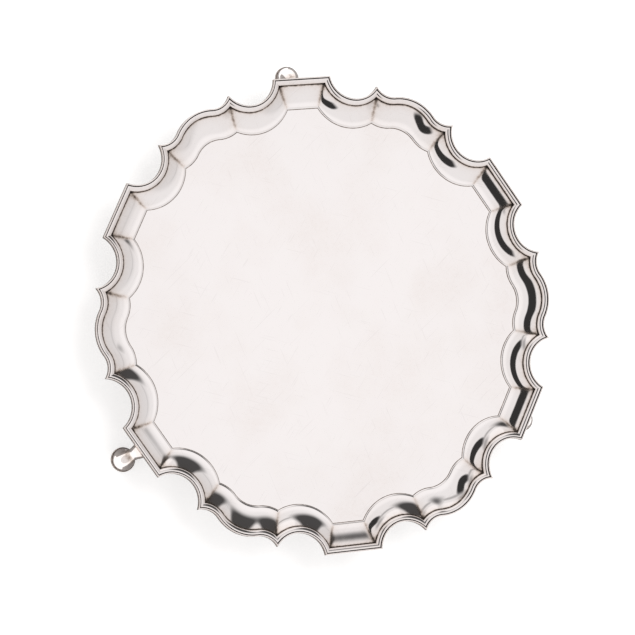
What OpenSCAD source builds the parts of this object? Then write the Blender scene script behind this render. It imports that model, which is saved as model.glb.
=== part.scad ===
// Silver salver with a moulded piecrust border on three cast pad feet.
// One tray raised from sheet carries a rim of twenty-four mitred moulding lengths.
// Six sixths make the outline: a straight, an arc, an ogee and another arc.
// The centre of the standing plane is the origin, +Y points at a straight, +Z is up.

/* [Outline] */
// Distance from the centre to the outer edge of a straight
straight_reach = 151.6; // [150.5:0.1:152.5]
// Distance from the centre to the point that a hollow arc is struck from
arc_centre = 157.3; // [156.5:0.1:158]
// Outer radius of a hollow arc
arc_r = 17.2; // [16.8:0.1:17.6]
// Distance from the centre to the crest of an ogee
crest_reach = 151.9; // [151.4:0.1:152.4]
// Outer radius of the ogee's crest
crest_r = 27; // [26.5:0.1:27.5]
// Outer radius of the ogee's hollow flank
flank_r = 12.5; // [12.2:0.1:12.8]
// Distance from the centre to the lowest point of the flank
flank_reach = 146.1; // [145.8:0.1:146.4]

/* [Well] */
// Distance from the centre to the well's edge at a straight
well_straight_reach = 132.3; // [131.5:0.1:133]
// Distance from the centre to the point that the well's arc is struck from
well_arc_centre = 148.8; // [148.4:0.1:149.2]
// Radius of the well's arc
well_arc_r = 27; // [26.6:0.1:27.4]
// Distance from the centre to the well's edge at an ogee's crest
well_crest_reach = 131.5; // [131:0.1:132]
// Radius of the well's edge at the crest
well_crest_r = 18; // [17.5:0.1:18.5]
// Radius of the well's edge at the flank
well_flank_r = 20; // [19.5:0.1:20.5]
// Distance from the centre to the well's edge at the flank
well_flank_reach = 126.7; // [126.4:0.1:127]

/* [Section] */
// Height of the rim's top above the table
height = 32; // [30:0.5:34]
// Depth of the well below the rim's top
well_depth = 6.4; // [6:0.1:7]
// Thickness of the sheet that the tray is raised from
sheet = 1.1; // [0.9:0.1:1.3]
// Width of the moulded rim
rim_w = 4.5; // [4.3:0.1:4.8]
// Depth of the seat that the rim is soldered on, below the rim's top
seat_depth = 2.4; // [2.2:0.1:2.6]
// Width of the small round step at the well's edge
step_w = 1.5; // [1.3:0.1:1.7]
// Height of that step
step_h = 0.8; // [0.6:0.1:1]

/* [Feet] */
// Distance from the centre to the middle of a foot's pad
foot_reach = 156.2; // [155:0.1:158]
// Radius of the pad
pad_r = 7.8; // [7.2:0.1:8.2]
// Height of the pad's domed body
pad_h = 8.6; // [8:0.1:9]

/* [Hidden] */

arc_turn = 13.25;       // bearing of an arc's centre from the straight's middle
sixth = 60;             // the outline repeats every sixth of a turn
arc_steps = 10;         // facets along a hollow arc of the tray
flank_steps = 4;        // facets along a flank of the tray
crest_steps = 3;        // facets along half a crest of the tray
cove_steps = 6;         // facets across the cove
under_steps = 4;        // facets across the cove's underside
step_steps = 3;         // facets across the round step
seat_edge = 1.3;        // the sheet stops this far inside the rim's outer edge
rim_wall = 1.05;        // thickness of the rim's outer wall, which hooks over the sheet's edge
fillet_r = 0.3;         // rounding of the fillet's outer edge
fillet_w = 0.8;         // width of the fillet
fillet_in = 0.15;       // bevel of the fillet's inner edge
groove_low = -1.0;      // floor of the groove inside the fillet, from the rim's top
groove_slope = 0.1;     // how far each side of the groove leans
ovolo_at = 1.4;         // where the ovolo starts, from the rim's outer edge
ovolo_top = -0.75;      // top of the ovolo, from the rim's top
ovolo_toe = 0.2;        // height at which the ovolo ends above its seat
quirk = 0.35;           // width of the groove between the ovolo and the cove
rim_drop = seat_depth + sheet;
bar = 50;               // length of moulding that a straight is cut from
prism = 20;             // height of the prisms that cut the mitres
spare = 2;              // reach of a mitre cut outside the moulding
cut = 16;               // reach of a mitre cut inside it
crest_cut = 40;         // reach of the cuts that bound a crest
hairline = 0.01;        // gap between an ogee's flank and its crest
key_l = 0.8;            // length of the key across that gap
key_w = 2.8;            // width of the key
key_h = 1.1;            // height of the key
key_in = 0.1;           // distance of the key inside the section
dome_in = 1.2;          // the pad's dome starts this far inside the pad's radius
dome_top = 3.4;         // radius of the dome's top
block_w = 40;           // width of the block that trims a leg under the tray
block_in = 100;         // inner end of that block
block_out = 200;        // outer end of that block
cove_w = straight_reach - rim_w - well_straight_reach;
silver = "#d9d8d4";

// Bearings run clockwise from +Y, as on a compass.
function bearing(r, a) = [r * sin(a), r * cos(a)];
// Turns a point clockwise about the origin.
function turned(p, a) = [p.x * cos(a) + p.y * sin(a), p.y * cos(a) - p.x * sin(a)];
function angle_of(v) = atan2(v.y, v.x);
function mix(a, b, t) = a + (b - a) * t;
// Where a circle crosses a level line, on the side nearer the straight's middle.
function line_meets_circle(level, c, r) = [c.x - sqrt(r * r - pow(c.y - level, 2)), level];
// Where two circles cross, on the side nearer the salver's centre.
function circles_meet(a, ra, b, rb) =
    let (d = norm(b - a), u = (b - a) / d, along = (ra * ra - rb * rb + d * d) / (2 * d),
         off = sqrt(ra * ra - along * along))
    a + along * u + off * [-u.y, u.x];
// Points along a circle from angle a to angle b.
function arc_points(c, r, a, b, steps) =
    [for (i = [0:steps]) c + r * [cos(mix(a, b, i / steps)), sin(mix(a, b, i / steps))]];

// The ogee's flank is struck from a point that makes it run smoothly into the crest.
function flank_centre(cy, cr, fy, fr) =
    [-sqrt(pow(cr + fr, 2) - pow(fy + fr - cy + cr, 2)), fy + fr];

// One outline is [level, arc centre, arc radius, flank centre, flank radius, crest centre, crest radius],
// in the frame where the straight's middle lies on +Y.
function outline(level, arc_at, ar, cy, cr, fy, fr) = [
    level, bearing(arc_at, arc_turn), ar,
    turned(flank_centre(cy, cr, fy, fr), sixth / 2), fr,
    bearing(cy - cr, sixth / 2), cr
];
outer_line = outline(straight_reach, arc_centre, arc_r, crest_reach, crest_r, flank_reach, flank_r);
well_line = outline(well_straight_reach, well_arc_centre, well_arc_r,
                    well_crest_reach, well_crest_r, well_flank_reach, well_flank_r);
// The same outline moved in by d, as a moulding of constant width is.
function inset(o, d) = [o[0] - d, o[1], o[2] + d, o[3], o[4] + d, o[5], o[6] - d];
function corner(o) = line_meets_circle(o[0], o[1], o[2]);
function cusp(o) = circles_meet(o[3], o[4], o[1], o[2]);
function crest_angle(o) = angle_of(o[3] - o[5]);

// Half a sixth of an outline, from the straight's corner to the middle of the ogee.
function half_points(o) =
    let (a = corner(o), b = cusp(o))
    concat(
        arc_points(o[1], o[2], angle_of(a - o[1]), angle_of(b - o[1]), arc_steps),
        [for (i = [1:flank_steps])
            let (t0 = angle_of(b - o[3]), t1 = crest_angle(o) - 180, t = mix(t0, t1, i / flank_steps))
            o[3] + o[4] * [cos(t), sin(t)]],
        [for (i = [1:crest_steps])
            let (t = mix(crest_angle(o), 90 - sixth / 2, i / crest_steps))
            o[5] + o[6] * [cos(t), sin(t)]]
    );

// A full ring of the tray, part of the way from the rim's inner edge (0) to the well's edge (1).
function blend_half(d, w) =
    let (a = half_points(inset(outer_line, d)), b = half_points(well_line))
    [for (i = [0:len(a) - 1]) mix(a[i], b[i], w)];
function mirrored(points) = [for (i = [len(points) - 2:-1:0]) [-points[i].x, points[i].y]];
function ring(d, w, z) =
    let (half = blend_half(d, w), sixth_points = concat(mirrored(half), half))
    [for (k = [0:5]) for (p = sixth_points) let (q = turned(p, sixth * k)) [q.x, q.y, z]];

// The cove is a hollow that starts steep under the rim and dies away towards the step.
step_at = 1 - step_w / cove_w;
function cove_drop(w) = seat_depth + (well_depth - step_h - seat_depth) * (1 - pow(1 - w / step_at, 2));
function top_ring(w) = ring(rim_w, w, height - cove_drop(w));
function step_ring(a) = ring(rim_w, step_at + (1 - step_at) * sin(a), height - well_depth + step_h * cos(a));
function under_drop(w) = sheet + mix(cove_drop(w * step_at), well_depth, pow(w, 3));
function under_ring(w) = ring(rim_w, w, height - under_drop(w));

// The rings run from the middle of the underside out to the seat and back over the top.
function tray_rings() = concat(
    [for (i = [under_steps:-1:0]) under_ring(i / under_steps)],
    [ring(seat_edge, 0, height - seat_depth - sheet), ring(seat_edge, 0, height - seat_depth)],
    [for (i = [0:cove_steps]) top_ring(step_at * i / cove_steps)],
    [for (i = [1:step_steps]) step_ring(90 * i / step_steps)]
);

module tray() {
    rings = tray_rings();
    n = len(rings[0]);
    last = len(rings) - 1;
    skin = [
        for (r = [0:last - 1]) for (i = [0:n - 1])
            let (j = (i + 1) % n, a = r * n, b = a + n)
            each [[a + i, a + j, b + j], [a + i, b + j, b + i]]
    ];
    color(silver)
        polyhedron(
            points = [for (r = rings) each r],
            faces = concat(skin, [[for (i = [n - 1:-1:0]) i], [for (i = [0:n - 1]) last * n + i]])
        );
}

// The rim's moulding as [distance in from the outer edge, height above the rim's top].
// From outside in: the wall, a rounded fillet, a groove, then an ovolo that ends in a quirk.
function quarter(c, rx, rz, a, b, steps) =
    [for (i = [0:steps]) let (t = mix(a, b, i / steps)) [c.x + rx * cos(t), c.y + rz * sin(t)]];
function rim_section() = concat(
    [[0, -rim_drop]],
    quarter([fillet_r, -fillet_r], fillet_r, fillet_r, 180, 90, 4),
    [[fillet_w - fillet_in, 0], [fillet_w, -fillet_in], [fillet_w + groove_slope, groove_low],
     [ovolo_at - groove_slope, groove_low]],
    quarter([ovolo_at, ovolo_toe - seat_depth], rim_w - quirk - ovolo_at,
            seat_depth - ovolo_toe + ovolo_top, 90, 0, 6),
    [[rim_w - quirk, -seat_depth], [rim_wall, -seat_depth], [rim_wall, -rim_drop]]
);

module moulding_round(centre, r, way) {
    translate([centre.x, centre.y, height])
        rotate_extrude($fn = 120)
            polygon([for (p = rim_section()) [r + way * p.x, p.y]]);
}

// A mitre runs from the outer corner through the inner one.
function mitre_out(p, q) = p - spare * (q - p) / norm(q - p);
function mitre_in(p, q) = q + cut * (q - p) / norm(q - p);
inner_line = inset(outer_line, rim_w);
corner_out = mitre_out(corner(outer_line), corner(inner_line));
corner_in = mitre_in(corner(outer_line), corner(inner_line));
cusp_out = mitre_out(cusp(outer_line), cusp(inner_line));
cusp_in = mitre_in(cusp(outer_line), cusp(inner_line));

module between(points) {
    intersection() {
        children();
        translate([0, 0, height - prism / 2]) linear_extrude(prism) polygon(points);
    }
}

module rim_straight(n) {
    color(silver) rotate(-sixth * (n - 1))
        between([corner_out, corner_in, [-corner_in.x, corner_in.y], [-corner_out.x, corner_out.y]])
            translate([-bar / 2, straight_reach, height]) rotate([90, 0, 90])
                linear_extrude(bar) polygon([for (p = rim_section()) [-p.x, p.y]]);
}

// Odd arcs lie clockwise of a straight and even ones lie before the next straight.
module rim_arc(n) {
    color(silver) rotate(-sixth * floor(n / 2)) mirror([n % 2 == 0 ? 1 : 0, 0, 0])
        between([corner_out, cusp_out, cusp_in, corner_in])
            moulding_round(outer_line[1], arc_r, 1);
}

// An ogee is one length: a hollow flank, the round crest and the flank's mirror image.
// Flank and crest meet on the line through their centres, where a key inside the section
// bridges a hairline, so that the length is a single solid.
ogee_run = outer_line[3] - outer_line[5];
ogee_dir = ogee_run / norm(ogee_run);
ogee_joint = outer_line[5] + crest_r * ogee_dir;

module ogee_flank() {
    joint = ogee_joint - hairline * [ogee_dir.y, -ogee_dir.x];
    between([cusp_out, joint + spare * ogee_dir, joint - cut * ogee_dir, cusp_in])
        moulding_round(outer_line[3], flank_r, 1);
}

module ogee_key() {
    translate([ogee_joint.x, ogee_joint.y, height - seat_depth + key_in])
        rotate(angle_of(-ogee_dir)) translate([key_in, -key_l / 2, 0]) cube([key_w, key_l, key_h]);
}

module ogee_crest() {
    far = outer_line[5] + crest_cut * ogee_dir;
    level = turned(far, -sixth / 2);
    other = turned([-level.x, level.y], sixth / 2);
    between([outer_line[5], far, other])
        moulding_round(outer_line[5], crest_r, -1);
}

module rim_ogee(n) {
    color(silver) rotate(-sixth * (n - 1)) union() {
        ogee_crest();
        ogee_flank();
        ogee_key();
        rotate(-sixth / 2) mirror([1, 0, 0]) rotate(sixth / 2) {
            ogee_flank();
            ogee_key();
        }
    }
}

// The leg is a short cabriole: a waist behind the pad, swelling to a knee under the cove.
// Each row is [distance in from the pad's middle, height, radius].
leg = [
    [0.6, 6.3, 4.9],
    [2.0, 9.4, 4.1],
    [3.8, 12.2, 4.0],
    [6.4, 15.6, 4.7],
    [9.8, 19.6, 5.6],
    [13.6, 23.8, 5.9]
];

module knob(p) {
    translate([0, foot_reach - p[0], p[1]]) sphere(p[2], $fn = 24);
}

// Everything above the underside of the tray at a straight.
module above_tray() {
    under = [for (i = [0:under_steps]) let (w = i / under_steps)
        [mix(straight_reach - rim_w, well_straight_reach, w), height - under_drop(w)]];
    translate([-block_w / 2, 0, 0]) rotate([90, 0, 90]) linear_extrude(block_w)
        polygon(concat([[straight_reach, height - rim_drop]], under,
                       [[block_in, height - under_drop(1)], [block_in, height],
                        [block_out, height], [block_out, height - rim_drop]]));
}

// The pad is turned: a flat sole, two fine rings and a domed body.
// Each row is [height, distance inside the pad's radius].
pad_rings = [[0, 0.2], [0.2, 0], [0.9, 0], [1.1, 0.35], [1.3, 0.1], [2.0, 0.1], [2.2, 0.8], [2.4, dome_in]];

module pad() {
    low = pad_rings[len(pad_rings) - 1][0];
    translate([0, foot_reach, 0]) rotate_extrude($fn = 96)
        polygon(concat(
            [[0, 0]],
            [for (p = pad_rings) [pad_r - p[1], p[0]]],
            quarter([dome_top, low], pad_r - dome_in - dome_top, pad_h - low, 10, 90, 8),
            [[0, pad_h]]
        ));
}

module foot(n) {
    color(silver) rotate(-120 * (n - 1)) union() {
        difference() {
            for (i = [0:len(leg) - 2]) hull() {
                knob(leg[i]);
                knob(leg[i + 1]);
            }
            above_tray();
        }
        pad();
    }
}

tray();
for (n = [1:6]) rim_straight(n);
for (n = [1:12]) rim_arc(n);
for (n = [1:6]) rim_ogee(n);
for (n = [1:3]) foot(n);
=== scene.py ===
# %% [markdown]
# # A silver salver on three pad feet
#
# A salver is a flat serving tray. This one is raised from a single sheet of sterling silver,
# and its border is built from twenty-four short lengths of moulding, mitred like a picture
# frame and hard-soldered round the edge. Three cast feet hold it off the table.
#
# The lesson builds each piece the way the silversmith does: the sheet is lofted, the moulding
# is one section spun or drawn along its path and cut at the mitres, and each foot is a casting
# whose round sections are stacked from sole to knee.

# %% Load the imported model, which fixes every size and place
import bisect
import math

import bmesh
import bpy
from mathutils import Matrix, Vector


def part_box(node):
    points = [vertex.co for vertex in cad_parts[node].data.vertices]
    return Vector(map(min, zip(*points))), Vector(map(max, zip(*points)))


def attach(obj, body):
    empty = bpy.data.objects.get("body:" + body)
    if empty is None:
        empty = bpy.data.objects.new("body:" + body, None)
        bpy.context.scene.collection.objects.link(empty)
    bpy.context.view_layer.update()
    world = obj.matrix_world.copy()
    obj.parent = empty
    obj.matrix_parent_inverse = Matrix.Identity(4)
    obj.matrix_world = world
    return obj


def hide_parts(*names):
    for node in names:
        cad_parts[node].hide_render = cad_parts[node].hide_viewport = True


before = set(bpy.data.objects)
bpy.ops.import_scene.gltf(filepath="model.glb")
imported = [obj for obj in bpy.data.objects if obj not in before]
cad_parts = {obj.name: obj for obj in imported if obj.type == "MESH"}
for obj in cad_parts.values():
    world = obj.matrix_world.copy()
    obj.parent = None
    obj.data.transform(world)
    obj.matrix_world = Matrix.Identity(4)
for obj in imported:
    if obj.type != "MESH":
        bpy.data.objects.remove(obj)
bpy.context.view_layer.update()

print("pieces in the design:", len(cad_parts))

# %% [markdown]
# ## The outline
#
# The border repeats every sixth of a turn: a straight, a hollow arc, an ogee (hollow flank,
# round crest, hollow flank) and a second arc. A silversmith sets this out with compasses on a
# card template, so each curve here is a circle with a centre and a radius. The outer edge and
# the edge of the well are two such drawings with their own radii, because the moulding keeps
# its width while the sheet is hammered to a softer line inside it.

# %% Driving sizes, in millimetres, and the heights read from the frame
MM = 0.001
SIXTH = math.radians(60)
ARC_TURN = math.radians(13.25)      # bearing of an arc's centre from the straight's middle

rim_low, rim_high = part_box("rim_straight_1")
RIM_TOP = rim_high.z
STRAIGHT_REACH = rim_high.y
RIM_W = 4.5 * MM                    # width of the moulded rim
SEAT_DEPTH = 2.4 * MM               # depth of the seat that the rim is soldered on
RIM_DROP = rim_high.z - rim_low.z   # height of the rim's outer wall
SHEET = RIM_DROP - SEAT_DEPTH       # thickness of the silver sheet
WELL_DEPTH = 6.4 * MM
STEP_W = 1.5 * MM
STEP_H = 0.8 * MM
print("rim top at", round(RIM_TOP / MM, 2), "mm, sheet", round(SHEET / MM, 2), "mm thick")


def bearing(reach, turn):
    """A point at a distance from the centre, turned clockwise from +Y like a compass bearing."""
    return Vector((reach * math.sin(turn), reach * math.cos(turn)))


def turned(p, turn):
    """The point p turned clockwise about the centre."""
    return Vector((p.x * math.cos(turn) + p.y * math.sin(turn),
                   p.y * math.cos(turn) - p.x * math.sin(turn)))


def outline(level, arc_reach, arc_r, crest_reach, crest_r, flank_reach, flank_r):
    """One drawing of the border: where each curve is struck from, and its radius."""
    crest = crest_reach - crest_r
    flank_y = flank_reach + flank_r
    flank_x = -math.sqrt((crest_r + flank_r) ** 2 - (flank_y - crest) ** 2)
    return {"level": level,
            "arc": bearing(arc_reach, ARC_TURN), "arc_r": arc_r,
            "flank": turned(Vector((flank_x, flank_y)), SIXTH / 2), "flank_r": flank_r,
            "crest": bearing(crest, SIXTH / 2), "crest_r": crest_r}


OUTER = outline(STRAIGHT_REACH, 157.3 * MM, 17.2 * MM, 151.9 * MM, 27 * MM, 146.1 * MM, 12.5 * MM)
WELL = outline(132.3 * MM, 148.8 * MM, 27 * MM, 131.5 * MM, 18 * MM, 126.7 * MM, 20 * MM)

# %% Corners, mitres and points along the curves


def inset(o, d):
    """The same drawing moved in by d, as a moulding of constant width needs."""
    return {**o, "level": o["level"] - d, "arc_r": o["arc_r"] + d,
            "flank_r": o["flank_r"] + d, "crest_r": o["crest_r"] - d}


def corner(o):
    """Where the straight meets the arc."""
    rise = o["arc"].y - o["level"]
    return Vector((o["arc"].x - math.sqrt(o["arc_r"] ** 2 - rise ** 2), o["level"]))


def cusp(o):
    """Where the arc meets the ogee's flank: two circles crossing."""
    a, ra, b, rb = o["flank"], o["flank_r"], o["arc"], o["arc_r"]
    gap = (b - a).length
    u = (b - a) / gap
    along = (ra ** 2 - rb ** 2 + gap ** 2) / (2 * gap)
    off = math.sqrt(ra ** 2 - along ** 2)
    return a + u * along + Vector((-u.y, u.x)) * off


def angle_of(v):
    return math.atan2(v.y, v.x)


def mix(a, b, t):
    return a + (b - a) * t


def even(t):
    return t


def late(t):
    """Closer together towards the end."""
    return math.sin(math.pi / 2 * t)


def early(t):
    """Closer together towards the start."""
    return 1 - math.cos(math.pi / 2 * t)


def both(t):
    """Closer together towards both ends."""
    return (1 - math.cos(math.pi * t)) / 2


def curve(centre, r, start, end, steps, spacing=even):
    """Points along a circle after the start angle, up to the end angle."""
    turns = [mix(start, end, spacing(i / steps)) for i in range(1, steps + 1)]
    return [centre + Vector((r * math.cos(t), r * math.sin(t))) for t in turns]


STRAIGHT_STEPS, ARC_STEPS, FLANK_STEPS, CREST_STEPS = 14, 44, 20, 10


def half_sixth(o):
    """Points from the middle of a straight to the middle of the next ogee."""
    a, b = corner(o), cusp(o)
    to_crest = angle_of(o["flank"] - o["crest"])
    points = [Vector((a.x * late(i / STRAIGHT_STEPS), a.y)) for i in range(1, STRAIGHT_STEPS + 1)]
    points += curve(o["arc"], o["arc_r"], angle_of(a - o["arc"]), angle_of(b - o["arc"]),
                    ARC_STEPS, both)
    points += curve(o["flank"], o["flank_r"], angle_of(b - o["flank"]), to_crest - math.pi,
                    FLANK_STEPS, early)
    points += curve(o["crest"], o["crest_r"], to_crest, math.pi / 2 - SIXTH / 2, CREST_STEPS)
    return points


def full_turn(half):
    """The whole outline, clockwise from the middle of the first straight."""
    mirrored = [Vector((-p.x, p.y)) for p in half[-2::-1]]
    middle = Vector((0, half[0].y))
    sixth = mirrored + [middle] + half
    return [turned(p, SIXTH * k) for k in range(6) for p in sixth]


HALF = STRAIGHT_STEPS + ARC_STEPS + FLANK_STEPS + CREST_STEPS
SIXTH_POINTS = 2 * HALF
print("outline points:", len(full_turn(half_sixth(OUTER))), "corner at",
      [round(v / MM, 2) for v in corner(OUTER)], "cusp at", [round(v / MM, 2) for v in cusp(OUTER)])

# %% [markdown]
# ## Lofting a piece from rings
#
# Sheet work and castings both have a changing section, so neither a plain extrusion nor a spin
# makes them. A grid from `create_grid` is a ready skin: its columns are laid on the points of
# each ring and its rows on one ring after another. The seam is then welded and the two ends
# closed, which leaves one watertight skin.

# %% Helpers that lay a grid on rings and finish a piece


def on_rings(rings, shade_and_tarnish=None, creases=(), crease_rows=(0, 0)):
    """A closed skin through rings that all have the same number of points.

    The second argument, called with column i and ring j, says how much tarnishing and painted
    shade that point keeps. The creases are columns that stay sharp up to the first of crease_rows
    and again from the second.
    """
    across, along = len(rings[0]), len(rings) - 1
    bm = bmesh.new()
    tarnish_and_shade = bm.verts.layers.float.new("tarnish_and_shade")
    bmesh.ops.create_grid(bm, x_segments=across, y_segments=along, size=1.0)
    column, row = {}, {}
    for v in bm.verts:
        i = round((v.co.x + 1) / 2 * across) % across
        j = round((v.co.y + 1) / 2 * along)
        v.co = rings[j][i]
        v[tarnish_and_shade] = shade_and_tarnish(i, j) if shade_and_tarnish else 0.0
        column[v], row[v] = i, j
    for e in bm.edges:
        a, b = e.verts
        low, high = sorted((row[a], row[b]))
        folded = column[a] == column[b] and column[a] in creases
        e.seam = folded and (high <= crease_rows[0] or low >= crease_rows[1])
    bmesh.ops.remove_doubles(bm, verts=bm.verts, dist=1e-7)
    rims = [e for e in bm.edges if e.is_boundary]
    bmesh.ops.holes_fill(bm, edges=rims, sides=0)
    return bm


def finished(bm, name, nodes, smooth_below=30):
    """Turns a bmesh into a piece that rides on the salver and stands for its CAD nodes."""
    bmesh.ops.recalc_face_normals(bm, faces=bm.faces)
    for f in bm.faces:
        f.smooth = True
    for e in bm.edges:
        if e.seam or (len(e.link_faces) == 2 and e.calc_face_angle() > math.radians(smooth_below)):
            e.smooth = False
    mesh = bpy.data.meshes.new(name)
    bm.to_mesh(mesh)
    bm.free()
    piece = bpy.data.objects.new(name, mesh)
    bpy.context.scene.collection.objects.link(piece)
    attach(piece, "root")
    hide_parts(*nodes)
    return piece


# %% [markdown]
# ## The tray
#
# The tray starts as a flat disc. The smith hammers its border up over a stake, so the well
# stays flat and the cove is a hollow that starts steep under the rim and dies away. A small
# rounded step is set down where the cove meets the well. Where the outline has a corner the
# sheet takes a crease, so those edges are marked sharp.

# %% The tray's three plan lines: the rim's inner edge, the seat and the well's edge
COVE_STEPS, STEP_STEPS, UNDER_STEPS = 26, 8, 8
SEAT_EDGE = 1.3 * MM                # the sheet stops this far inside the rim's outer edge
COVE_W = STRAIGHT_REACH - RIM_W - WELL["level"]
STEP_AT = 1 - STEP_W / COVE_W
INNER = inset(OUTER, RIM_W)
rim_inner = half_sixth(INNER)
seat_line = half_sixth(inset(OUTER, SEAT_EDGE))
well_edge = half_sixth(WELL)
print("cove and step together:", round(COVE_W / MM, 2), "mm wide at a straight")

# %% Heights across the cove, from the rim (0) to the well (1)


def cove_drop(w):
    """Depth of the cove below the rim's top, part of the way in from the rim to the step."""
    fall = WELL_DEPTH - STEP_H - SEAT_DEPTH
    return SEAT_DEPTH + fall * (1 - (1 - w / STEP_AT) ** 2)


def under_drop(w):
    return SHEET + mix(cove_drop(w * STEP_AT), WELL_DEPTH, w ** 3)


print("drop at the step:", round(cove_drop(STEP_AT) / MM, 2), "mm, and in the well:",
      round(WELL_DEPTH / MM, 2), "mm")

# %% The valley that runs down the cove from each mitre is rounded, as a hammer leaves it
VALLEY = 3.6 * MM                   # half width over which the valley at a mitre is rounded


def rounded(ring, reach):
    """The closed ring with its corners rounded: each point becomes a weighted mean of its stretch."""
    if reach < 0.05 * MM:
        return ring
    n = len(ring)
    run = [0.0]                     # distance along the ring, over two turns
    for i in range(2 * n):
        run.append(run[-1] + (ring[(i + 1) % n] - ring[i % n]).length)

    def at(distance):
        i = bisect.bisect_right(run, distance) - 1
        return ring[i % n].lerp(ring[(i + 1) % n], (distance - run[i]) / (run[i + 1] - run[i]))

    taps = [(reach * k / 4, 1 - abs(k) / 4) for k in range(-3, 4)]
    whole = sum(weight for shift, weight in taps)
    rounded_ring = []
    for i in range(n):
        here = run[n + i if i * 2 < n else i]       # far from both ends of the two turns
        stretch = [at(here + shift) * weight for shift, weight in taps]
        rounded_ring.append(sum(stretch, Vector((0, 0, 0))) / whole)
    return rounded_ring


def tray_ring(half, drop, reach=0.0):
    return rounded([Vector((p.x, p.y, RIM_TOP - drop)) for p in full_turn(half)], reach)


def valley(w):
    """The rounding grows from nothing under the rim and dies away again at the step."""
    return VALLEY * math.sin(math.pi * min(1, w / STEP_AT)) ** 0.75


print("valley rounded half-way down by", round(valley(STEP_AT / 2) / MM, 2), "mm each way")

# %% The rings of the tray, each with the tarnish and painted shade that it keeps
UNDER_DIRT = 0.3
# The marks down the step's round and just inside it on the well's floor are painted shade with tarnish,
# darkest where the round meets the flat.
ROLL_TARNISH_AND_SHADE = [0.06, 0.02, 0.0, 0.0, 0.05, 0.2, 0.6, 1.0]     # down the step's round
FLOOR_TARNISH_AND_SHADE = [(0.15, 0.7), (0.4, 0.0), (2.5, 0.0)]          # [mm in from the step, tarnish and painted shade]


def cove_tarnish_and_shade(w):
    """Tarnishing and painted shade at the top of the cove under the rim: a dark line at the quirk, and a
    softer darkening that fades down the cove.
    """
    top = math.exp(-(w * COVE_W / (0.4 * MM)) ** 2)
    under_rim = math.exp(-w * COVE_W / (2.2 * MM))
    return 0.6 * top + 0.17 * under_rim


def cove_line(w):
    return [p.lerp(q, w) for p, q in zip(rim_inner, well_edge)]


def tray_rings():
    """Rings from the middle of the underside, out round the edge, and in to the well's floor."""
    under = [i / UNDER_STEPS for i in range(UNDER_STEPS, -1, -1)]
    cove = [STEP_AT * i / COVE_STEPS for i in range(COVE_STEPS + 1)]
    roll = [math.pi / 2 * i / STEP_STEPS for i in range(1, STEP_STEPS + 1)]
    rings = [(tray_ring(cove_line(w), under_drop(w)), UNDER_DIRT) for w in under]
    rings += [(tray_ring(seat_line, SEAT_DEPTH + SHEET), UNDER_DIRT),
              (tray_ring(seat_line, SEAT_DEPTH), UNDER_DIRT)]
    rings += [(tray_ring(cove_line(w), cove_drop(w), valley(w)), cove_tarnish_and_shade(w)) for w in cove]
    rings += [(tray_ring(cove_line(mix(STEP_AT, 1, math.sin(a))), WELL_DEPTH - STEP_H * math.cos(a)),
               ROLL_TARNISH_AND_SHADE[i]) for i, a in enumerate(roll)]
    rings += [(tray_ring(cove_line(1 + d * MM / COVE_W), WELL_DEPTH), mark)
              for d, mark in FLOOR_TARNISH_AND_SHADE]
    return rings


stack, marks = zip(*tray_rings())
print("rings in the tray:", len(stack), "of", len(stack[0]), "points")

# %% Distance of each column from the nearest mitre, where the sheet is creased
half_mitre = [min((p - corner(INNER)).length, (p - cusp(INNER)).length) for p in rim_inner]
sixth_mitre = half_mitre[-2::-1] + [half_mitre[0]] + half_mitre
creased = {k * SIXTH_POINTS + i for k in range(6) for i, d in enumerate(sixth_mitre) if d < 0.01 * MM}
COVE_ROW = UNDER_STEPS + 3          # the first ring of the cove
SHARP_ROWS = 2                      # rings at each end of the cove that keep a sharp crease


def tray_tarnish_and_shade(i, j):
    """Tarnishing and painted shade of column i of ring j: the ring's own, and more in the crease at a
    mitre.
    """
    d = sixth_mitre[i % SIXTH_POINTS]
    w = (j - COVE_ROW) / COVE_STEPS
    if not 0 <= w <= 1:
        return marks[j]
    # In the crease at a mitre this is painted shade and a painted dark reflection as well as tarnish, broad
    # and fading down the cove.
    crease = 0.34 * math.exp(-(d / (1.3 * MM)) ** 2) + 0.28 * math.exp(-d / (2.8 * MM))
    return min(1.0, marks[j] + crease * (1 - 0.65 * w))


print("creased columns:", len(creased))

# %% Lay the skin of the tray
crease_rows = (COVE_ROW + SHARP_ROWS, COVE_ROW + COVE_STEPS - SHARP_ROWS)
tray_mesh = on_rings(stack, tray_tarnish_and_shade, creased, crease_rows)
tray = finished(tray_mesh, "tray_sheet", ["tray"])
print("tray:", len(tray.data.polygons), "faces")

# %% [markdown]
# ## The rim
#
# The moulding is one section throughout: a plain outer wall, a narrow rounded fillet on top, a
# groove, then an ovolo that rolls down to a quirk at the edge of the cove. A turned length
# is exactly what `spin` makes, so each arc is the section spun about the arc's own centre. An
# ogee is three spins in a row, each starting from the last ring of the one before. Every length
# is made too long and then cut with `bisect_plane` at its mitres, as on a bench hook.

# %% The moulding's section


def quarter(cx, cz, rx, rz, start, end, steps):
    turns = [math.radians(mix(start, end, i / steps)) for i in range(steps + 1)]
    return [(cx + rx * math.cos(t), cz + rz * math.sin(t)) for t in turns]


FILLET_R = 0.3 * MM                 # rounding of the fillet's outer edge
FILLET_W = 0.78 * MM                # width of the fillet
GROOVE_LOW = -1.15 * MM             # bottom of the groove that sets off the ovolo
OVOLO_AT, OVOLO_TOP = 1.4 * MM, -0.75 * MM
QUIRK = 0.35 * MM                   # width of the groove between the ovolo and the cove
WALL = 1.05 * MM                    # thickness of the wall that laps over the sheet's edge
TOE = 0.15 * MM                     # the ovolo stops this far above its seat


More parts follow.
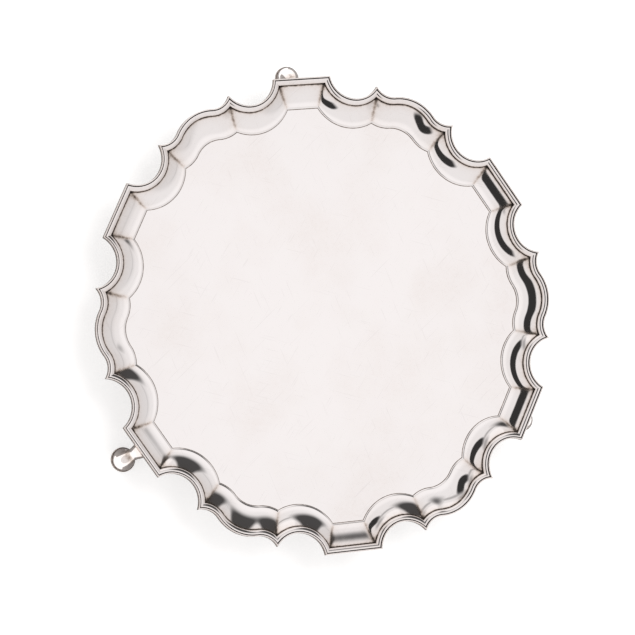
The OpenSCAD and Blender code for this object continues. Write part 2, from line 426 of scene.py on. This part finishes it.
def section():
    """The moulding's outline as [distance in from the edge, height above the rim's top, tarnishing and
    painted shade].
    """
    round_out = quarter(FILLET_R, -FILLET_R, FILLET_R, FILLET_R, 180, 90, 6)
    round_in = quarter(FILLET_W - 0.2 * MM, -0.2 * MM, 0.2 * MM, 0.2 * MM, 90, 0, 4)
    ovolo = quarter(OVOLO_AT, -SEAT_DEPTH + TOE, RIM_W - QUIRK - OVOLO_AT,
                    SEAT_DEPTH - TOE + OVOLO_TOP, 90, 0, 14)
    # The outer wall's marks paint a dark reflection on the outside of the rim along with tarnish; the marks
    # in the groove, at the foot of the ovolo and at the quirk are painted shade along with tarnish.
    return ([(0, -RIM_DROP, 0.6), (0, -RIM_DROP * 0.8, 0.3), (0, -RIM_DROP * 0.3, 0.15)]
            + [(d, z, 0.1) for d, z in round_out] + [(d, z, 0.12) for d, z in round_in]
            + [(FILLET_W + 0.04 * MM, -0.6 * MM, 0.9), (FILLET_W + 0.2 * MM, GROOVE_LOW, 1.0),
               (FILLET_W + 0.40 * MM, GROOVE_LOW, 1.0), (OVOLO_AT - 0.1 * MM, OVOLO_TOP - 0.12 * MM, 0.6)]
            + [(d, z, 0.06 + 0.6 * (i / 14) ** 5) for i, (d, z) in enumerate(ovolo)]
            + [(RIM_W - QUIRK, -SEAT_DEPTH, 1.0), (WALL, -SEAT_DEPTH, 0.8), (WALL, -RIM_DROP, 0.8)])


print("points round the section:", len(section()))

# %% The section as a wire, ready to be drawn out or spun


def section_ring(bm, place):
    """The section as a closed wire, with place(d) giving its plan position."""
    tarnish_and_shade = bm.verts.layers.float.get("tarnish_and_shade") or bm.verts.layers.float.new("tarnish_and_shade")
    verts = []
    for d, z, mark in section():
        v = bm.verts.new((*place(d), RIM_TOP + z))
        v[tarnish_and_shade] = mark
        verts.append(v)
    edges = [bm.edges.new((a, b)) for a, b in zip(verts, verts[1:] + verts[:1])]
    return verts + edges


# %% Mitres: each cut is an upright plane through the outer and the inner corner


def cut_at(bm, p, q, keep):
    """Cuts the length along the upright plane through p and q and keeps the side that keep is on."""
    normal = Vector((q.y - p.y, p.x - q.x, 0))
    if normal.dot(Vector((*(keep - p), 0))) > 0:
        normal.negate()
    geom = bm.verts[:] + bm.edges[:] + bm.faces[:]
    bmesh.ops.bisect_plane(bm, geom=geom, dist=1e-7, plane_co=(*p, 0), plane_no=normal, clear_outer=True)
    bmesh.ops.holes_fill(bm, edges=[e for e in bm.edges if e.is_boundary], sides=0)


def placed(bm, mirror, turn):
    """Carries a length from the first sixth to its own place."""
    if mirror:
        bmesh.ops.scale(bm, verts=bm.verts, vec=(-1, 1, 1))
    bmesh.ops.rotate(bm, verts=bm.verts, matrix=Matrix.Rotation(-turn, 3, "Z"))
    return bm


def spun(bm, wire, centre, turn, steps):
    done = bmesh.ops.spin(bm, geom=wire, cent=(*centre, 0), axis=(0, 0, 1), angle=turn,
                          steps=steps, use_merge=False, use_duplicate=False)
    return done["geom_last"]


# %% Straights


def straight_length():
    bm = bmesh.new()
    half = corner(OUTER).x + 2 * MM
    wire = section_ring(bm, lambda d: (-half, STRAIGHT_REACH - d))
    drawn = bmesh.ops.extrude_edge_only(bm, edges=[g for g in wire if isinstance(g, bmesh.types.BMEdge)])
    moved = [g for g in drawn["geom"] if isinstance(g, bmesh.types.BMVert)]
    bmesh.ops.translate(bm, verts=moved, vec=(2 * half, 0, 0))
    middle = Vector((0, STRAIGHT_REACH))
    for side in (1, -1):
        p, q = corner(OUTER), corner(INNER)
        cut_at(bm, Vector((side * p.x, p.y)), Vector((side * q.x, q.y)), middle)
    return bm


rim = []
for n in range(6):
    name = f"rim_straight_{n + 1}"
    rim.append(finished(placed(straight_length(), False, SIXTH * n), f"{name}_moulding", [name]))

# %% Arcs, struck from outside the salver
ARC_SPARE = math.radians(14)


def arc_length():
    bm = bmesh.new()
    centre = OUTER["arc"]
    start = angle_of(corner(OUTER) - centre) - ARC_SPARE
    end = angle_of(cusp(OUTER) - centre) + ARC_SPARE
    if start < -math.pi:
        start, end = start + 2 * math.pi, end + 2 * math.pi
    u = Vector((math.cos(start), math.sin(start)))
    wire = section_ring(bm, lambda d: centre + u * (OUTER["arc_r"] + d))
    spun(bm, wire, centre, end - start, 84)
    middle = bearing(STRAIGHT_REACH - 12 * MM, ARC_TURN)
    cut_at(bm, corner(OUTER), corner(INNER), middle)
    cut_at(bm, cusp(OUTER), cusp(INNER), middle)
    return bm


for n in range(12):
    name = f"rim_arc_{n + 1}"
    turn = SIXTH * ((n + 1) // 2)
    rim.append(finished(placed(arc_length(), n % 2 == 1, turn), f"{name}_moulding", [name]))

# %% Ogees: flank, crest and flank are three spins in a row
FLANK_SPARE = math.radians(12)


def ogee_length():
    """Made about +Y, so that its two flanks mirror each other."""
    bm = bmesh.new()
    flank = turned(OUTER["flank"], -SIXTH / 2)
    crest = turned(OUTER["crest"], -SIXTH / 2)
    tip, tip_in = turned(cusp(OUTER), -SIXTH / 2), turned(cusp(INNER), -SIXTH / 2)
    start = angle_of(tip - flank) - FLANK_SPARE
    end = angle_of(crest - flank)
    u = Vector((math.cos(start), math.sin(start)))
    wire = section_ring(bm, lambda d: flank + u * (OUTER["flank_r"] + d))
    half_crest = angle_of(flank - crest) - math.pi / 2
    wire = spun(bm, wire, flank, end - start, 40)
    wire = spun(bm, wire, crest, -2 * half_crest, 40)
    spun(bm, wire, Vector((-flank.x, flank.y)), end - start, 40)
    bmesh.ops.remove_doubles(bm, verts=bm.verts, dist=1e-7)
    middle = Vector((0, crest.y + OUTER["crest_r"]))
    for side in (1, -1):
        cut_at(bm, Vector((side * tip.x, tip.y)), Vector((side * tip_in.x, tip_in.y)), middle)
    return bm


for n in range(6):
    name = f"rim_ogee_{n + 1}"
    turn = SIXTH * (n + 0.5)
    rim.append(finished(placed(ogee_length(), False, turn), f"{name}_moulding", [name]))
print("rim lengths:", len(rim), "with", sum(len(r.data.polygons) for r in rim), "faces")

# %% [markdown]
# ## The feet
#
# Each foot is a small cabriole casting: a turned pad with two fine rings, a domed hoof that
# leans back into the ankle, and a knee that swells out again where it is soldered under the
# cove. Round sections are stacked along that bent line, each with its own height, lean and
# radius, and the grid is laid on them as it was for the tray.

# %% Cast the feet
FOOT_REACH = 156.2 * MM
AROUND = 64
KNEE_SHIFT = 1.2 * MM               # the knee's top lies this much further in than its last ring
SOLDER = 0.1 * MM                   # how far the knee is let into the sheet
JOINT_TARNISH = 0.9
# Turned part of the pad: [height, radius, tarnish].
PAD = [(0, 7.4, 0.5), (0.08, 7.65, 0.3), (0.3, 7.8, 0.1), (0.7, 7.8, 0.05), (0.95, 7.7, 0.3),
       (1.08, 7.4, 0.9), (1.22, 7.4, 0.9), (1.4, 7.62, 0.2), (1.7, 7.65, 0.05), (1.95, 7.55, 0.3),
       (2.1, 7.2, 0.9), (2.25, 7.1, 0.9), (2.45, 7.15, 0.2), (2.8, 7.1, 0.0), (3.4, 6.9, 0.0),
       (4.1, 6.55, 0.0), (4.8, 6.05, 0.0)]
# Bent part of the leg: [inward shift, height, radius, lean in degrees, tarnish].
LEG = [(0.2, 5.5, 5.6, 8, 0.0), (0.5, 6.3, 5.2, 18, 0.0), (1.0, 7.2, 4.85, 28, 0.05),
       (1.7, 8.2, 4.5, 37, 0.1), (2.5, 9.2, 4.2, 44, 0.2), (3.4, 10.3, 3.95, 49, 0.35),
       (4.3, 11.4, 3.85, 51, 0.3), (5.1, 12.5, 4.0, 50, 0.05), (5.9, 13.6, 4.3, 47, 0.0),
       (6.8, 14.9, 4.65, 44, 0.0), (7.9, 16.5, 5.0, 42, 0.1), (9.2, 18.4, 5.35, 39, 0.15),
       (10.8, 20.6, 5.6, 35, 0.2), (12.4, 22.6, 5.7, 30, 0.35), (13.6, 24.2, 5.65, 22, 0.5)]


def under_height(y):
    """Height of the tray's underside over a straight, at a distance y from the centre."""
    w = (STRAIGHT_REACH - RIM_W - y) / COVE_W
    return RIM_TOP - under_drop(min(max(w, 0), 1))


def foot_ring(shift, height, r, lean):
    """A round section, leaning back towards the salver's centre."""
    tilt = math.radians(lean)
    ring = []
    for i in range(AROUND):
        a = 2 * math.pi * i / AROUND
        y = FOOT_REACH - shift * MM + r * MM * math.sin(a) * math.cos(tilt)
        z = height * MM + r * MM * math.sin(a) * math.sin(tilt)
        ring.append(Vector((r * MM * math.cos(a), y, z)))
    return ring


def foot_rings():
    rings = [foot_ring(0, h, r, 0) for h, r, mark in PAD] + [foot_ring(*row[:4]) for row in LEG]
    moved = [Vector((p.x, p.y - KNEE_SHIFT, 0)) for p in rings[-1]]
    return rings + [[Vector((p.x, p.y, under_height(p.y) + SOLDER)) for p in moved]]


foot_marks = [row[-1] for row in PAD + LEG] + [JOINT_TARNISH]
feet = []
for n in range(3):
    name = f"foot_{n + 1}"
    bm = on_rings(foot_rings(), lambda i, j: foot_marks[j])
    feet.append(finished(placed(bm, False, 2 * SIXTH * n), f"{name}_casting", [name], 40))
print("feet:", [len(f.data.polygons) for f in feet])

# %% [markdown]
# ## Silver
#
# Sterling silver is bright enough that its colour is nearly all reflection, so the shader is a
# plain metal and the character comes from three things. Tarnish, a thin sulphide film, is straw
# coloured where it is thin and nearly black in the grooves that a polishing cloth can't reach.
# The same darkening also holds painted shade in the grooves, the quirks, the mitre creases and
# under the rim, and a painted dark reflection on the rim's outer wall: the meshes carry tarnish
# and painted shade together as one attribute. Fine hairline scratches cross the well from years of
# wiping. And a hammered sheet is never dead flat, so a very shallow bump bends the reflections.
# The cast feet are polished less evenly, so they are a little rougher.

# %% Small helpers for colours and nodes


def srgb(code):
    """An sRGB hex colour as the linear colour that shaders take."""
    channels = [int(code[i:i + 2], 16) / 255 for i in (1, 3, 5)]
    return (*[c / 12.92 if c <= 0.04045 else ((c + 0.055) / 1.055) ** 2.4 for c in channels], 1.0)


def add(tree, kind, settings, links=None):
    """Adds a node, sets its properties and inputs, and links sockets to its other inputs."""
    n = tree.nodes.new(kind)
    for key, value in settings.items():
        if isinstance(key, str) and hasattr(n, key):
            setattr(n, key, value)
        else:
            n.inputs[key].default_value = value
    for key, socket in (links or {}).items():
        tree.links.new(socket, n.inputs[key])
    return n.outputs[0]


def per(mm):
    """Noise scale for a pattern whose features are this many millimetres apart."""
    return 1 / (mm * MM)


# %% Hairline scratches, and the colours of tarnish and painted shade from none to full
TARNISH_AND_SHADE_RAMP = [(0.0, "#fbf7f6"), (0.16, "#efe6e1"), (0.38, "#bcaea4"), (0.62, "#625851"), (1.0, "#1f1c1b")]


# Four sets of scratches: [turn in degrees, width and length in mm, noise level that shows].
HAIRLINES = [(17, 0.7, 20, 0.765), (71, 0.8, 28, 0.77), (-38, 0.6, 15, 0.765), (128, 0.9, 36, 0.775)]


def hairlines(tree, at, turn, width, length, shown):
    """Faint straight scratches: noise stretched along one direction, kept where it peaks."""
    laid = add(tree, "ShaderNodeMapping", {
        "vector_type": "TEXTURE", "Location": (turn * MM, 0, 0), "Rotation": (0, 0, math.radians(turn)),
        "Scale": (width * MM, length * MM, length * MM)}, {"Vector": at})
    streak = add(tree, "ShaderNodeTexNoise", {"Scale": 1.0, "Detail": 0.0}, {"Vector": laid})
    return add(tree, "ShaderNodeMapRange", {"From Min": shown, "From Max": shown + 0.05}, {"Value": streak})


def either(tree, a, b):
    """The stronger of two patterns."""
    return add(tree, "ShaderNodeMath", {"operation": "MAXIMUM"}, {0: a, 1: b})


def scratches(tree, at):
    """All the sets of hairlines in one pattern."""
    lines = None
    for row in HAIRLINES:
        more = hairlines(tree, at, *row)
        lines = either(tree, lines, more) if lines else more
    return lines


# %% Tarnish and painted shade: what the meshes carry, made uneven, and a thin cloudy film of tarnish over everything


def tarnish_and_shade_depth(tree, at, bloom):
    """How tarnished each point is, with the painted shade that the meshes carry, from 0 to 1; bloom is the
    most that the open film reaches.
    """
    kept = tree.nodes.new("ShaderNodeAttribute")
    kept.attribute_name = "tarnish_and_shade"
    speck = add(tree, "ShaderNodeTexNoise", {"Scale": per(2.2), "Detail": 5.0, "Roughness": 0.65},
                {"Vector": at})
    cloud = add(tree, "ShaderNodeTexNoise", {"Scale": per(38), "Detail": 3.0}, {"Vector": at})
    uneven = add(tree, "ShaderNodeMapRange",
                 {"From Min": 0.3, "From Max": 0.7, "To Min": 0.55, "To Max": 1.4}, {"Value": speck})
    film = add(tree, "ShaderNodeMapRange", {"From Min": 0.45, "From Max": 0.75, "To Max": bloom},
               {"Value": cloud})
    film = add(tree, "ShaderNodeMath", {"operation": "MULTIPLY"}, {0: film, 1: uneven})
    return add(tree, "ShaderNodeMath", {"operation": "MULTIPLY_ADD", "use_clamp": True},
               {0: kept.outputs["Fac"], 1: uneven, 2: film})


def tarnish_and_shade_colour(tree, shade_and_tarnish):
    """The colour of silver under that much tarnishing and painted shade."""
    ramp = tree.nodes.new("ShaderNodeValToRGB")
    stops = ramp.color_ramp.elements
    while len(stops) < len(TARNISH_AND_SHADE_RAMP):
        stops.new(0.5)
    for stop, (place, code) in zip(stops, TARNISH_AND_SHADE_RAMP):
        stop.position = place
        stop.color = srgb(code)
    tree.links.new(shade_and_tarnish, ramp.inputs["Fac"])
    return ramp.outputs["Color"]


# %% The finish itself


def silver(name, rough, bloom, scratched, dent):
    """Polished silver: bloom is how much thin sulphide film lies on open metal, dent the bump's depth in
    mm.
    """
    mat = bpy.data.materials.new(name)
    mat.use_nodes = True
    tree = mat.node_tree
    shader = tree.nodes["Principled BSDF"]
    shader.inputs["Metallic"].default_value = 1.0
    at = tree.nodes.new("ShaderNodeTexCoord").outputs["Object"]
    shade_and_tarnish = tarnish_and_shade_depth(tree, at, bloom)
    worn = add(tree, "ShaderNodeMath", {"operation": "MULTIPLY", 1: scratched}, {0: scratches(tree, at)})
    base = add(tree, "ShaderNodeMixRGB", {"Color2": srgb("#8f8784")},
               {"Fac": worn, "Color1": tarnish_and_shade_colour(tree, shade_and_tarnish)})
    tree.links.new(base, shader.inputs["Base Color"])
    dull = add(tree, "ShaderNodeMath", {"operation": "MULTIPLY_ADD", 1: 0.4, 2: rough}, {0: shade_and_tarnish})
    dull = add(tree, "ShaderNodeMath", {"operation": "MULTIPLY_ADD", 1: 0.3}, {0: worn, 2: dull})
    tree.links.new(dull, shader.inputs["Roughness"])
    hammered = add(tree, "ShaderNodeTexNoise", {"Scale": per(14), "Detail": 2.0}, {"Vector": at})
    height = add(tree, "ShaderNodeMath", {"operation": "MULTIPLY_ADD", 1: -0.15}, {0: worn, 2: hammered})
    bump = add(tree, "ShaderNodeBump", {"Strength": 1.0, "Distance": dent * MM}, {"Height": height})
    tree.links.new(bump, shader.inputs["Normal"])
    return mat


# %% Each piece gets the finish of the way it was made
raised = silver("silver_sheet_hand_raised", 0.03, 0.05, 0.07, 0.03)
drawn = silver("silver_moulding_polished", 0.03, 0.08, 0.10, 0.005)
cast = silver("silver_cast_polished", 0.04, 0.06, 0.08, 0.015)
finishes = [([tray], raised, "raised_sheet_silver"),
            (rim, drawn, "rim_moulding_silver"),
            (feet, cast, "cast_foot_silver")]
for pieces, metal, slot in finishes:
    for piece in pieces:
        piece.data.materials.append(metal)
print("finishes:", raised.name, drawn.name, cast.name)

# %% [markdown]
# ## The studio
#
# Silver shows the room, not itself. A silver photographer therefore hangs a white tent all round
# and above the piece, and lets in a few dark cards so that the hollows get crisp black bands.
# Here the tent is the world's colour: each direction is laid out on a flat chart (the
# stereographic one, where the point overhead is the middle and the horizon a circle of radius 1)
# and each card is a rectangle with round corners and soft edges on that chart. The floor is a
# white acrylic sheet, lit a little from below so that the shadows stay light, and one soft lamp
# gives them a direction.

# %% The floor


def flat_piece(name, bm, material):
    mesh = bpy.data.meshes.new(name)
    bm.to_mesh(mesh)
    bm.free()
    piece = bpy.data.objects.new(name, mesh)
    bpy.context.scene.collection.objects.link(piece)
    piece.data.materials.append(material)
    return piece


def matte(name, code, glow=0.0):
    mat = bpy.data.materials.new(name)
    mat.use_nodes = True
    shader = mat.node_tree.nodes["Principled BSDF"]
    shader.inputs["Base Color"].default_value = srgb(code)
    shader.inputs["Roughness"].default_value = 0.8
    shader.inputs["Emission Color"].default_value = srgb("#ffffff")
    shader.inputs["Emission Strength"].default_value = glow
    return mat


floor_bm = bmesh.new()
bmesh.ops.create_grid(floor_bm, x_segments=1, y_segments=1, size=3.0)
flat_piece("floor", floor_bm, matte("white_acrylic_matte", "#c9c8c7", 0.62))

# %% A grey card under the salver, which only the silver sees
card_bm = bmesh.new()
bmesh.ops.create_circle(card_bm, cap_ends=True, segments=96, radius=0.168)
bmesh.ops.translate(card_bm, verts=card_bm.verts, vec=(0, 0, 0.2 * MM))
under_card = flat_piece("under_card", card_bm, matte("grey_card_matte", "#b4b0ad"))
under_card.visible_camera = False
under_card.visible_diffuse = False
under_card.visible_shadow = False

# %% The tent and its cards
# Each card: [centre, turn in degrees, half sizes, softness of its edge, light that it leaves].
# Dark cards hide each other where they overlap, and the last two are bright ones.
CARDS = [((-0.066, 0.018), -1.5, (0.072, 0.25), 0.011, 0.04),
         ((0.375, 0.375), -38, (0.135, 0.265), 0.03, 0.08),
         ((0.035, 0.262), 0, (0.16, 0.018), 0.018, 0.50),
         ((-0.12, 0.30), 12, (0.09, 0.03), 0.02, 0.50),
         ((0.77, 0.10), 0, (0.43, 0.75), 0.06, 0.86),
         ((0.395, 0.05), 0, (0.02, 0.20), 0.015, 0.74),
         ((0.03, 0.49), 0, (0.15, 0.16), 0.015, 1.18),
         ((0.165, 0.035), 0, (0.05, 0.05), 0.04, 1.12)]
TENT_LIGHT = 0.86
world = bpy.data.worlds.new("light_tent")
world.use_nodes = True
tent = world.node_tree
tent.nodes.clear()
way = tent.nodes.new("ShaderNodeTexCoord").outputs["Generated"]
rise = add(tent, "ShaderNodeVectorMath", {"operation": "DOT_PRODUCT", 1: (0, 0, 1)}, {0: way})
rise = rise.node.outputs["Value"]
span = add(tent, "ShaderNodeMath", {"operation": "ADD", 1: 1.001}, {0: rise})
chart = add(tent, "ShaderNodeVectorMath", {"operation": "DIVIDE"}, {0: way, 1: span})
chart = add(tent, "ShaderNodeVectorMath", {"operation": "MULTIPLY", 1: (1, 1, 0)}, {0: chart})


def card(centre, turn, half, soft):
    """How much of a card lies in each direction: 1 on the card and 0 off it.

    In units of its half sizes, its outline is x^4 + y^4 = 1: a rectangle with rounded corners.
    """
    laid = add(tent, "ShaderNodeMapping", {
        "vector_type": "TEXTURE", "Location": (*centre, 0), "Rotation": (0, 0, math.radians(turn)),
        "Scale": (*half, 1)}, {"Vector": chart})
    square = add(tent, "ShaderNodeVectorMath", {"operation": "MULTIPLY"}, {0: laid, 1: laid})
    fourth = add(tent, "ShaderNodeVectorMath", {"operation": "DOT_PRODUCT"}, {0: square, 1: square})
    out = add(tent, "ShaderNodeMath", {"operation": "POWER", 1: 0.25}, {0: fourth.node.outputs["Value"]})
    edge = soft / min(half)
    return add(tent, "ShaderNodeMapRange", {"interpolation_type": "SMOOTHSTEP", "From Min": 1 + edge,
                                            "From Max": 1 - edge}, {"Value": out})


glow = add(tent, "ShaderNodeValue", {})
glow.default_value = 1.0
for centre, turn, half, soft, left in CARDS:
    shade = add(tent, "ShaderNodeMath", {"operation": "MULTIPLY_ADD", 1: left - 1, 2: 1.0},
                {0: card(centre, turn, half, soft)})
    blend = "MINIMUM" if left < 1 else "MULTIPLY"
    glow = add(tent, "ShaderNodeMath", {"operation": blend}, {0: shade, 1: glow})
glow = add(tent, "ShaderNodeMath", {"operation": "MULTIPLY", 1: TENT_LIGHT}, {0: glow})
sky = add(tent, "ShaderNodeBackground", {"Color": srgb("#fffdfd")}, {"Strength": glow})
tent.links.new(sky, tent.nodes.new("ShaderNodeOutputWorld").inputs["Surface"])
bpy.context.scene.world = world
bpy.context.scene.view_settings.view_transform = "Standard"

# %% One soft lamp for the floor's shadows
lamp_data = bpy.data.lights.new("soft_lamp", "AREA")
lamp_data.shape = "DISK"
lamp_data.size = 1.2
lamp_data.energy = 14
lamp = bpy.data.objects.new("soft_lamp", lamp_data)
bpy.context.scene.collection.objects.link(lamp)
LAMP_AT = Vector((0.6, 0.6, 1.9))
lamp.matrix_world = Matrix.Translation(LAMP_AT) @ LAMP_AT.to_track_quat("Z", "Y").to_matrix().to_4x4()
lamp.visible_glossy = False

# %% The camera
AIM = Vector((-7.48 * MM, -1.91 * MM, RIM_TOP))
CAMERA_TURN = math.radians(-168.06)     # where it stands, anticlockwise from +X
CAMERA_RISE = math.radians(71.10)       # above the horizon
CAMERA_FAR = 1.941
CAMERA_ROLL = math.radians(72.40)
level = math.cos(CAMERA_RISE)
towards = Vector((level * math.cos(CAMERA_TURN), level * math.sin(CAMERA_TURN), math.sin(CAMERA_RISE)))
camera_data = bpy.data.cameras.new("camera")
camera_data.lens = 173.9
camera_data.sensor_width = 36
camera_data.clip_end = 50
camera = bpy.data.objects.new("camera", camera_data)
bpy.context.scene.collection.objects.link(camera)
pose = towards.to_track_quat("Z", "Y").to_matrix() @ Matrix.Rotation(CAMERA_ROLL, 3, "Z")
camera.matrix_world = Matrix.Translation(AIM + towards * CAMERA_FAR) @ pose.to_4x4()
bpy.context.scene.camera = camera
